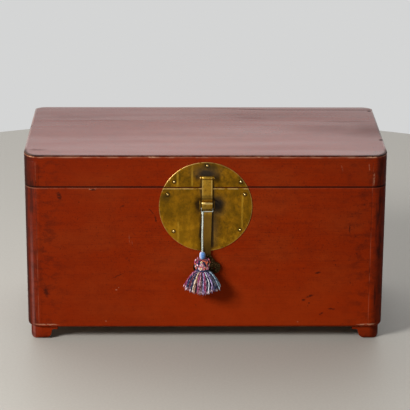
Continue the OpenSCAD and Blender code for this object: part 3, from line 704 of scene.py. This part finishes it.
def makePlateBrass():
    finish = brassFinish("plate_brass", brass["gold"], brass["olive"])
    x, z, middle = finish.x, finish.z, plate["middle"]
    ragged = finish.ragged(5.0, 16.0)
    blotch = finish.noise((20, 20, 26), 5.0, 0.7)
    grain = finish.noise((3, 3, 5), 4.0, 0.7)
    finish.lay(blotch.rise(0.44, 0.66) * (0.25 + z.rise(300, 370) * 0.58), plate["shade"])
    finish.lay(grain.rise(0.50, 0.68) * 0.34, plate["shade"])
    finish.lay(x.fall(-70, 0) * z.rise(338, 372) * 0.24, plate["shade"])
    finish.lay(blotch.fall(0.36, 0.52) * z.fall(230, 330) * 0.6, plate["sunny"])
    finish.lay(x.fall(-75, 15) * z.fall(222, 290) * 0.40, plate["lit"])
    streaks = union([
        (x - (across + (z - middle) * 0.02)).size().fall(0.4, 3.6) * span
        for across, span in (
            (-60.1, z.rise(330, 345)),
            (-29.8, z.rise(342, 352)),
            (77.0, z.fall(325, 330) * z.rise(245, 262)),
            (-56.5, z.fall(262, 272)),
        )
    ])
    patchy = finish.noise((5, 5, 14), 3.0, 0.6).rise(0.36, 0.60)
    finish.lay(streaks * (0.20 + patchy * 0.52), plate["streak"])

    # patina and soot, with painted shade and shadows of the hasp and cord
    patinaAndShade = union([finish.stain(at, size, 0.1, 0, ragged) for at, size in plate["patinaAndShade"]])
    finish.lay(patinaAndShade * 0.72, brass["dark"])
    sootAndShadow = union([
        finish.stain(at, size, 0.2, 0, ragged) * strength for at, size, strength in plate["sootAndShadow"]
    ])
    # painted shadow of the strap along both its sides
    strapShadow = (x - hasp["middle"]).size().fall(13.0, 15.5) * z.rise(205, 215) * z.fall(368, 372)
    finish.lay((sootAndShadow * 0.9).most(strapShadow * 0.75), brass["black"])
    greened = finish.stain((-83, -188, 322), (17, 30, 14), 0.0, 0, ragged)
    finish.lay(greened * 0.75, plate["green"])
    nails = islands("lid_plate_nails") + islands("box_plate_nails")
    rings = union([finish.stain(tuple(nail / mm), (6.5, 30, 6.5), 0.45) for nail in nails])
    finish.lay(rings * 0.8, brass["black"])

    # rims worn bright, with a painted highlight on the upper left rim and along the split
    # between the plates
    radius = (x * x + (z - middle) * (z - middle)) ** 0.5
    rim = radius.rise(plate["radius"] - 2.0, plate["radius"] - 0.8)
    rim = rim * (0.45 + x.fall(-30, 30) * z.rise(345, 362) * 0.55)
    split = (z - 341.2).size().fall(0.8, 1.9)
    rimWearAndHighlight = rim.most(split * 0.8) * finish.noise((14, 14, 14), 3.0).rise(0.34, 0.50)
    finish.lay(rimWearAndHighlight * 0.8, brass["bright"])
    dull = finish.noise((24, 24, 24), 4.0, 0.65)
    gloss = brass["roughness"] + dull.rise(0.35, 0.7) * 0.16 + patinaAndShade * 0.2
    return finish.surface(gloss, brassHeight(finish), metallic=1.0 - patinaAndShade * 0.4)


def makeHaspBrass():
    finish = brassFinish("hasp_brass", hasp["gold"], hasp["olive"])
    x, z = finish.x, finish.z
    away = (x - hasp["middle"]).size()
    finish.lay(away.rise(10.2, 11.0) * 0.45, brass["dark"])
    # painted highlight along both edges of the strap above the bridge
    finish.lay((away - 9.3).size().fall(0.3, 1.6) * z.rise(316, 322) * 0.45, hasp["edge"])
    finish.lay(z.fall(280, 292) * 0.85, hasp["tail"])
    finish.lay((z - 212).fall(-8, 34) * 0.6, brass["dark"])
    lobes = z.fall(188, 205)
    finish.lay(lobes * 0.85, hasp["lobe"])
    flecks = finish.noise((2.6, 2.6, 2.6), 3.0, 0.6).rise(0.56, 0.66)
    finish.lay(flecks * lobes * 0.5, hasp["fleck"])
    # painted shade in the strap's bends above and below the bridge
    creaseShade = (z - 323.5).size().fall(1.0, 8.0).most((z - 296).size().fall(2.0, 8.0))
    finish.lay(creaseShade * 0.6, brass["dark"])
    # painted shade under the rolled end and above the bridge
    shadeLine = (z - 362.6).size().fall(0.6, 1.9)  # under the rolled end
    shadeLine = shadeLine.most((z - 319.5).size().fall(0.6, 2.2) * 0.7)  # above the bridge
    finish.lay(shadeLine * 0.85, brass["black"])
    bridgeShade = z.rise(297, 300) * z.fall(307, 311)  # painted shade on the bridge's lower part
    finish.lay(bridgeShade * 0.35, brass["dark"])
    # painted highlight band across the bridge
    finish.lay((z - 312.8).size().fall(0.8, 2.6) * 0.7, hasp["bridge_highlight"])
    gloss = 0.30 + finish.noise((10, 10, 10), 3.0).rise(0.35, 0.7) * 0.14 + lobes * 0.1
    return finish.surface(gloss, brassHeight(finish), metallic=1.0)


def makeRodBrass(name):
    bright, dull, roughness = rods[name]
    finish = brassFinish(name, bright, dull)
    gloss = roughness + finish.noise((6, 6, 6), 3.0).rise(0.35, 0.7) * 0.14
    return finish.surface(gloss, brassHeight(finish) * 0.6, metallic=1.0)


dress(["box_plate", "lid_plate"], makePlateBrass(), 0.25)
dress(["hasp"], makeHaspBrass(), 0.3)
dress(["hasp_pin", "lid_plate_nails", "box_plate_nails"], makeRodBrass("polished_brass"), 0.15)
dress(["left_staple", "right_staple"], makeRodBrass("sooty_brass"), 0.15)
dulled = makeRodBrass("dulled_brass")
dress(["left_pin_eye", "right_pin_eye"], dulled, 0.15)
dress([name for name in nodes if "hinge" in name], dulled, 0.2)
print("brass aged")

# Yarn


def frames(path):  # each point with a side and an up direction, without twist
    found = []
    side = None
    for index, point in enumerate(path):
        ahead = path[min(index + 1, len(path) - 1)] - path[max(index - 1, 0)]
        tangent = ahead.normalized()
        if side is None:
            side = tangent.orthogonal().normalized()
        side = (side - tangent * side.dot(tangent)).normalized()
        found.append((point, side, tangent.cross(side)))
    return found


def distances(path):  # how far along the path each point lies
    found = [0.0]
    for here, there in zip(path, path[1:]):
        found.append(found[-1] + (there - here).length)
    return found


class Yarn:  # strands of one colour, gathered into one mesh
    def __init__(self):
        self.points = []
        self.faces = []
        self.along = []  # 0 to 1 from each strand's top to its tip

    def skin(self, start, rings, sides, downward=False):  # side faces and two ends
        faces = [tuple(reversed(range(start, start + sides)))]
        for ring in range(start, start + (rings - 1) * sides, sides):
            for step in range(sides):
                here, beside = ring + step, ring + (step + 1) % sides
                faces.append((here, beside, beside + sides, here + sides))
        faces.append(tuple(range(start + (rings - 1) * sides, start + rings * sides)))
        self.faces += [face[::-1] for face in faces] if downward else faces

    def strand(self, path, radii, lay, sides=8, plies=2, depth=0.16, phase=0.0):
        # the outline has a bulge for each ply, and turns once in each lay
        start = len(self.points)
        places = zip(frames(path), distances(path))
        for index, ((point, side, up), travelled) in enumerate(places):
            turned = math.tau * travelled / lay + phase
            radius = radii[index] if isinstance(radii, list) else radii
            for step in range(sides):
                angle = math.tau * step / sides
                reach = radius * (1 + depth * math.cos(plies * (angle - turned)))
                self.points.append(
                    point + (side * math.cos(angle) + up * math.sin(angle)) * reach
                )
                self.along.append(index / (len(path) - 1))
        self.skin(start, len(path), sides)

    def core(self, part, shape, count, sides, grow):  # a closed form under the strands
        start = len(self.points)
        for index in range(count):
            down = index / (count - 1)
            for side in range(sides):
                self.points.append(onForm(part, shape, down, math.tau * side / sides, grow))
                self.along.append(down)
        self.skin(start, count, sides, downward=True)

    def piece(self, name, material, slot):
        mesh = bpy.data.meshes.new(name)
        mesh.from_pydata(self.points, [], self.faces)
        mesh.polygons.foreach_set("use_smooth", [True] * len(mesh.polygons))
        mesh.attributes.new("along", "FLOAT", "POINT").data.foreach_set("value", self.along)
        mesh.materials.append(material)
        made = bpy.data.objects.new(name, mesh)
        bpy.context.scene.collection.objects.link(made)
        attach(made, "tassel")
        return made


def makeYarn(name, colour, shade, tip=None):
    finish = Finish(name, colour)
    fibre = finish.noise((0.5, 0.5, 1.2), 3.0, 0.7)
    cloud = finish.noise((4, 4, 7), 3.0, 0.6)
    finish.lay(cloud.rise(0.35, 0.7) * 0.6, shade)
    finish.lay(fibre.rise(0.5, 0.75) * 0.35, tuple(0.35 * part for part in shade))
    if tip:
        broken = finish.noise((2.6, 2.6, 6), 2.0, 0.6)
        finish.lay(broken.rise(0.54, 0.60) * 0.85, (0.014, 0.012, 0.045))
        finish.lay(broken.fall(0.38, 0.44) * 0.45, (0.66, 0.54, 0.60))
        along = finish.node("Attribute", {"attribute_name": "along"}, output=2)
        finish.lay(along.rise(0.86, 0.95), tip)
    constants = {"Specular IOR Level": 0.2, "Sheen Weight": 0.25}
    return finish.surface(0.88, fibre * 0.12, constants)


tassel = {
    "cordTop": (-6.25, -194.42, 292.35),
    "cordSteps": [  # across, forward and down from the top
        (0, 0, 0), (0, 0, 6), (0, 0.5, 14), (0, 1, 22), (-0.2, 2, 32), (-0.4, 3, 42),
        (-0.5, 4.5, 52), (-0.5, 6, 62), (-0.5, 7.5, 72), (-0.5, 9, 80), (-0.5, 9.5, 86),
    ],
    "cordInside": (98, 110, 122, 132, 142),  # down through the bead and the head
    "cordThick": 3.8,
    "cordLay": 7.5,
    "loopMiddle": (3.0, -194.42, 297.2),
    "loopHalf": (12.15, 4.0),
    "loopThick": 1.4,
    "bead": {"top": 206.35, "height": 15.0, "width": 12.6, "depth": 12.2},
    "head": {"top": 191.35, "height": 23.0, "width": 34.2, "depth": 26.0},
    "tie": {"top": 168.35, "height": 3.4, "width": 25.0, "depth": 19.0},
    "skirt": {"top": 164.95, "length": 49.0, "width": 82.0, "depth": 34.0, "lean": 4.0},
    "strands": 260,
}
axis = Vector((
    tassel["cordTop"][0] + tassel["cordSteps"][-1][0],
    tassel["cordTop"][1] - tassel["cordSteps"][-1][1],
    0,
))

beadShape = [(0, 0.5), (0.12, 0.82), (0.3, 0.98), (0.5, 1), (0.7, 0.98), (0.88, 0.82), (1, 0.55)]
headShape = [(0, 0.62), (0.06, 0.86), (0.2, 1), (0.45, 0.96), (0.7, 0.9), (0.9, 0.86), (1, 0.8)]
skirtShape = [(0, 0), (0.06, 0.25), (0.2, 0.5), (0.4, 0.74), (0.65, 0.92), (0.88, 1), (1, 0.95)]


def share(shape, down):  # the width's share at a share of the height
    for (above, wide), (beneath, wider) in zip(shape, shape[1:]):
        if down <= beneath:
            step = max(0.0, (down - above) / (beneath - above))
            return wide + (wider - wide) * step
    return shape[-1][1]


def onForm(part, shape, down, turn, grow=0.0):  # a place on the bead or head, in metres
    width = part["width"] / 2 * share(shape, down) + grow
    depth = part["depth"] / 2 * share(shape, down) + grow
    height = part["top"] - down * part["height"]
    return (axis + Vector((width * math.cos(turn), depth * math.sin(turn), height))) * mm


def smoothPath(points, count):  # even steps along a rounded line through points
    dense = []
    last = len(points) - 1
    for index in range(last):
        before, here = points[max(index - 1, 0)], points[index]
        there, after = points[index + 1], points[min(index + 2, last)]
        for step in range(12):
            t = step / 12
            dense.append(
                0.5 * (
                    2 * here + (there - before) * t
                    + (2 * before - 5 * here + 4 * there - after) * t**2
                    + (3 * here - before - 3 * there + after) * t**3
                )
            )
    dense.append(points[-1])
    travelled = distances(dense)
    goal = travelled[-1] / (count - 1)
    even = [dense[0]]
    for a, b, covered, reached in zip(dense, dense[1:], travelled, travelled[1:]):
        while reached >= goal * len(even) - 1e-9 and len(even) < count - 1:
            even.append(a.lerp(b, (goal * len(even) - covered) / (b - a).length))
    return even + [dense[-1]]


paleYarn = makeYarn("pale_cord", (0.56, 0.60, 0.52), (0.25, 0.30, 0.28))


def plied(path, thick, lay):  # two round plies laid up into one cord
    cord = Yarn()
    for ply in range(2):
        line = []
        for (point, side, up), travelled in zip(frames(path), distances(path)):
            turn = math.tau * (travelled / lay + ply / 2)
            line.append(point + (side * math.cos(turn) + up * math.sin(turn)) * thick * 0.20)
        cord.strand(line, thick * 0.30, lay / 2, sides=8, plies=3, depth=0.1)
    return cord


def lengthOf(path):
    return distances(path)[-1]


def makeCord():
    top = Vector(tassel["cordTop"])
    route = [(top + Vector((s[0], -s[1], -s[2]))) * mm for s in tassel["cordSteps"]]
    route += [(axis + Vector((0, 0, top.z - down))) * mm for down in tassel["cordInside"]]
    path = smoothPath(route, 140)
    cord = plied(path, tassel["cordThick"] * mm, tassel["cordLay"] * mm)
    piece = cord.piece("cord", paleYarn, "pale_cord")
    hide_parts("tassel_cord")
    return piece, path


def makeLoop():
    middle = Vector(tassel["loopMiddle"])
    halfX, halfZ = tassel["loopHalf"]
    bend = 1.6
    start = tassel["cordTop"][0] - middle.x
    outline = [(start, -halfZ)]
    for cornerX, cornerZ, first in ((-1, -1, 270), (-1, 1, 180), (1, 1, 90), (1, -1, 0)):
        for step in range(5):
            turn = math.radians(first - 22.5 * step)
            outline.append((
                cornerX * (halfX - bend) + bend * math.cos(turn),
                cornerZ * (halfZ - bend) + bend * math.sin(turn),
            ))
    outline.append((start + 0.6, -halfZ))
    points = [(middle + Vector((across, 0, up))) * mm for across, up in outline]
    path = smoothPath(points, 90)
    loop = plied(path, tassel["loopThick"] * mm, 4.5 * mm)
    piece = loop.piece("loop", paleYarn, "pale_cord")
    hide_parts("tassel_loop")
    return piece, path


def makeKnot():  # thread wound where the cord hangs from the loop
    knot = Yarn()
    top = Vector(tassel["cordTop"])
    turns, radius = 4.2, 2.0
    path = []
    for step in range(70):
        t = step / 69
        turn = math.tau * turns * t
        path.append((top + Vector((
            radius * math.cos(turn), radius * math.sin(turn), 0.2 - 4.6 * t
        ))) * mm)
    knot.strand(path, 0.55 * mm, 3 * mm)
    return knot.piece("knot", paleYarn, "pale_cord")


cordPiece, cordPath = makeCord()
loopPiece, loopPath = makeLoop()
knotPiece = makeKnot()
print("cords laid, cord", round(lengthOf(cordPath), 4), "loop", round(lengthOf(loopPath), 4))

# Bead, head, tie and skirt

yarns = {  # colour and shade of each yarn, linear
    "blue": ((0.10, 0.25, 0.54), (0.06, 0.14, 0.36)),
    "ice": ((0.40, 0.45, 0.64), (0.22, 0.26, 0.44)),
    "magenta": ((0.36, 0.035, 0.13), (0.20, 0.018, 0.075)),
    "pink": ((0.66, 0.24, 0.32), (0.42, 0.10, 0.18)),
    "blush": ((0.80, 0.56, 0.60), (0.60, 0.34, 0.42)),
    "orange": ((0.70, 0.16, 0.06), (0.46, 0.075, 0.03)),
    "cream": ((0.78, 0.62, 0.42), (0.55, 0.38, 0.22)),
    "navy": ((0.018, 0.018, 0.075), (0.008, 0.008, 0.035)),
    "moss": ((0.060, 0.062, 0.040), (0.026, 0.028, 0.020)),
    "lavender": ((0.46, 0.33, 0.60), (0.27, 0.17, 0.40)),
    "wine": ((0.17, 0.016, 0.030), (0.075, 0.008, 0.015)),
    "white": ((0.78, 0.80, 0.84), (0.52, 0.54, 0.62)),
    "sky": ((0.40, 0.58, 0.70), (0.22, 0.36, 0.48)),
    "brown": ((0.42, 0.16, 0.07), (0.24, 0.08, 0.035)),
}
tipTint = (0.72, 0.50, 0.56)
goldenAngle = 2.399963  # spreads strands evenly over a round


def pieces(strands, part, slot, tip=None):  # one piece for each colour of a part
    return [
        yarn.piece(part + name, makeYarn(part + name, *yarns[name], tip=tip), slot)
        for name, yarn in strands.items()
    ]


def makeBead():
    part = tassel["bead"]
    strands = {"blue": Yarn(), "ice": Yarn()}
    strands["blue"].core(part, beadShape, 15, 24, -1.3)
    count = 34
    for index in range(count):
        turn = math.tau * index / count
        facing = math.cos(turn + math.pi / 2 - 0.15)  # 1 straight ahead
        name = "blue" if facing > 0.72 or (facing < -0.5 and index % 3) else "ice"
        downs = [step / 14 for step in range(15)]
        path = [onForm(part, beadShape, down, turn + 0.3 * down, -0.75) for down in downs]
        strands[name].strand(path, 0.78 * mm, 3 * mm, sides=7)
    made = pieces(strands, "bead_", "blue_yarn")
    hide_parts("tassel_bead")
    return made


# The head's colours at its left, in its middle and at its right
headColours = {
    "left": ["pink", "blush", "wine", "magenta", "navy", "orange"],
    "middle": ["magenta", "pink", "wine", "cream", "orange", "navy"],
    "right": ["orange", "wine", "cream", "pink", "magenta", "navy"],
}


def makeHead():
    part = tassel["head"]
    colours = ["wine", "magenta", "pink", "blush", "orange", "cream", "navy"]
    strands = {name: Yarn() for name in colours}
    strands["wine"].core(part, headShape, 13, 28, -2.6)
    count = 120
    for index in range(count):
        down = 0.06 + 0.88 * (index + 0.5) / count
        centre = onForm(part, headShape, down, goldenAngle * index, random.uniform(-2.4, -1.0))
        inner = (axis + Vector((0, 0, part["top"] - down * part["height"]))) * mm
        outward = (centre - inner).normalized()
        level = Vector((0, 0, 1)).cross(outward).normalized()
        rise = outward.cross(level)
        tilt = random.uniform(0, math.pi)
        wide, tall = random.uniform(1.7, 2.5) * mm, random.uniform(0.9, 1.5) * mm
        path = []
        for step in range(15):
            around = math.tau * step / 14
            flat = level * math.cos(around) * wide + rise * math.sin(around) * tall
            turned = Quaternion(outward, tilt) @ flat
            hump = outward * (0.9 * mm * math.sin(around / 2) + 0.25 * mm * math.cos(3 * around))
            path.append(centre + turned + hump)
        right = centre.x / mm - axis.x
        zone = "left" if right < -3 else "middle" if right < 5 else "right"
        name = random.choice(headColours[zone])
        strands[name].strand(path, 0.74 * mm, 2.2 * mm, sides=7)
    made = pieces(strands, "head_", "pink_yarn")
    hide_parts("tassel_head")
    return made


def makeTie():
    part = tassel["tie"]
    tie = Yarn()
    width, depth = part["width"] / 2 + 0.7, part["depth"] / 2 + 0.7
    path = []
    for step in range(130):
        t = step / 129
        turn = math.tau * 3.6 * t
        drop = 0.5 + (part["height"] - 1.0) * t - 0.1 * math.sin(2.3 * turn)
        place = Vector((width * math.cos(turn), depth * math.sin(turn), part["top"] - drop))
        path.append((axis + place) * mm)
    tie.strand(path, 0.85 * mm, 3.2 * mm)
    piece = tie.piece("tie", makeYarn("tie_navy", *yarns["navy"]), "navy_yarn")
    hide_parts("tassel_tie")
    return piece


skirtBands = [  # colours from the skirt's left side to its right
    "magenta", "navy", "navy", "navy", "wine", "navy", "navy", "cream", "brown", "navy",
    "lavender", "magenta", "blush", "wine", "white", "navy", "lavender", "magenta", "blush",
    "navy", "white", "navy", "navy", "lavender", "navy", "navy", "white", "navy", "navy", "sky",
]


def skirtPlace(across, deep, down):  # across and deep run from -1 to 1
    skirt, neck = tassel["skirt"], tassel["tie"]
    wide = share(skirtShape, down) if down > 0 else 0.0
    halfX = (neck["width"] + (skirt["width"] - neck["width"]) * wide) / 2
    halfY = (neck["depth"] + (skirt["depth"] - neck["depth"]) * wide) / 2
    return Vector((
        axis.x + halfX * across,
        axis.y - skirt["lean"] * wide + halfY * deep,
        skirt["top"] - down * skirt["length"],
    ))


def makeSkirt():
    strands = {name: Yarn() for name in dict.fromkeys(skirtBands)}
    count, bands, steps = tassel["strands"], len(skirtBands), 26
    for index in range(count):
        reach = math.sqrt((index + 0.5) / count)
        turn = goldenAngle * index
        across, deep = reach * math.cos(turn), reach * math.sin(turn)
        number = int((across + 1) / 2 * bands + random.uniform(-0.7, 0.7))
        number = min(max(number, 0), bands - 1)
        middle = (number + 0.5) / bands * 2 - 1
        name = skirtBands[number] if deep < 0.55 else random.choice(skirtBands)
        across = across * 0.6 + middle * 0.4
        drop = 0.985 - 0.22 * across * across - random.uniform(0, 0.10)
        phase, waves = random.uniform(0, math.tau), random.uniform(0.7, 1.7)
        sway = Vector((random.uniform(0.6, 2.3), random.uniform(0.3, 1.0), 0))
        paleTip = random.random() < 0.4
        path, radii = [], []
        for step in range(steps):
            t = step / (steps - 1)
            place = skirtPlace(across * 0.97, deep * 0.97, -0.06 + (drop + 0.06) * t)
            swing = math.sin(phase + math.tau * waves * t) * t
            path.append((place + sway * swing) * mm)
            radii.append((0.74 + 0.26 * t) * mm)
        radii[-1] *= 0.7
        yarn = strands[name]
        first = len(yarn.along)
        lay = random.uniform(4.5, 6.5) * mm
        yarn.strand(path, radii, lay, sides=7, depth=0.2, phase=phase)
        tip, onward = path[-1], (path[-1] - path[-2]).normalized()
        for fray in range(3):
            lean = Vector((random.uniform(-1, 1), random.uniform(-1, 1), 0)) * 0.35
            line = [tip + (onward + lean * t) * (t * 2.2 - 0.6) * mm for t in (0, 0.35, 0.7, 1)]
            yarn.strand(line, [0.55 * mm, 0.5 * mm, 0.4 * mm, 0.2 * mm], 3 * mm, sides=5)
        if not paleTip:
            yarn.along[first:] = [0.8 * value for value in yarn.along[first:]]
    made = pieces(strands, "skirt_", "mixed_yarn", tip=tipTint)
    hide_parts("tassel_skirt")
    return made


beadPieces = makeBead()
headPieces = makeHead()
tiePiece = makeTie()
skirtPieces = makeSkirt()
lengthOf(loopPath)
lengthOf(cordPath)
